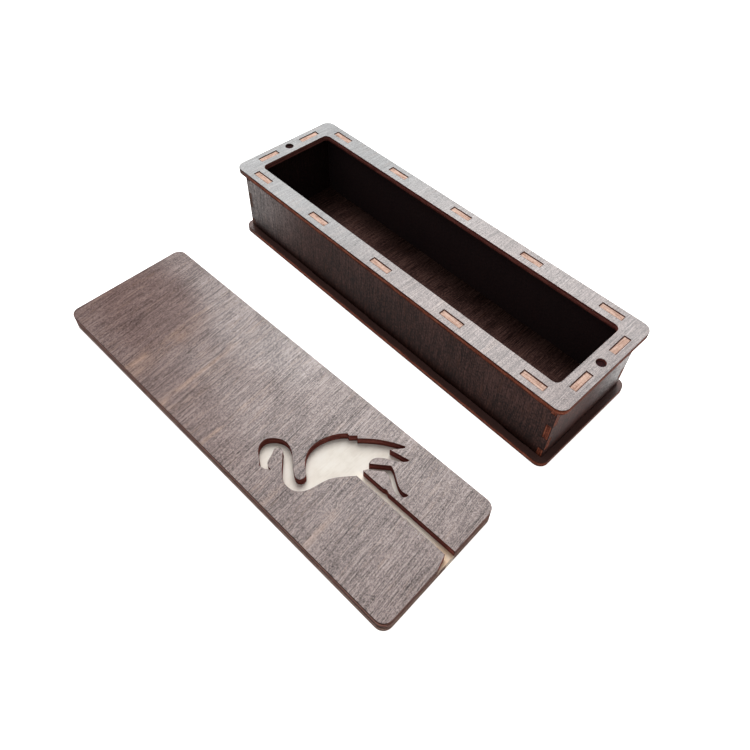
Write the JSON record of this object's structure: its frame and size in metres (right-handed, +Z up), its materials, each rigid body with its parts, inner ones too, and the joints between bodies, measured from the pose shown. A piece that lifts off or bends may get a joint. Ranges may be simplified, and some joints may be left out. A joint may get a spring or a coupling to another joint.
{
  "type": "organizer box",
  "caption": "Long narrow plywood box with finger-jointed walls, a slotted rim frame and base plate, and a flat lift-off lid: a stained panel with a wading bird cut through it on a pale backing board.",
  "frame": {"origin": "centre of the base plate's underside, on the surface that the box stands on", "axes": "+X along the box, -Y towards the lid that lies beside it, +Z up"},
  "size_m": [0.205, 0.162, 0.0407],
  "materials": {
    "stained_ply": "dark brown stain, satin",
    "lid_ply": "grey-brown stain over open grain, satin",
    "pale_board": "cream face, matt",
    "dark_magnet": "dark, matt"
  },
  "bodies": {
    "box": {"base_plate": "stained_ply", "front_wall": "stained_ply", "rear_wall": "stained_ply", "left_end_wall": "stained_ply", "right_end_wall": "stained_ply", "rim_frame": "stained_ply", "rim_magnet_left": "dark_magnet", "rim_magnet_right": "dark_magnet"},
    "lid": {"lid_panel": "lid_ply", "lid_backing": "pale_board", "lid_magnet_left": "dark_magnet", "lid_magnet_right": "dark_magnet"}
  },
  "joints": [
    {"name": "lid_lift", "type": "slide", "parent": "box", "child": "lid", "axis": [0, 0, 1], "range_m": [0, 0.12]}
  ]
}
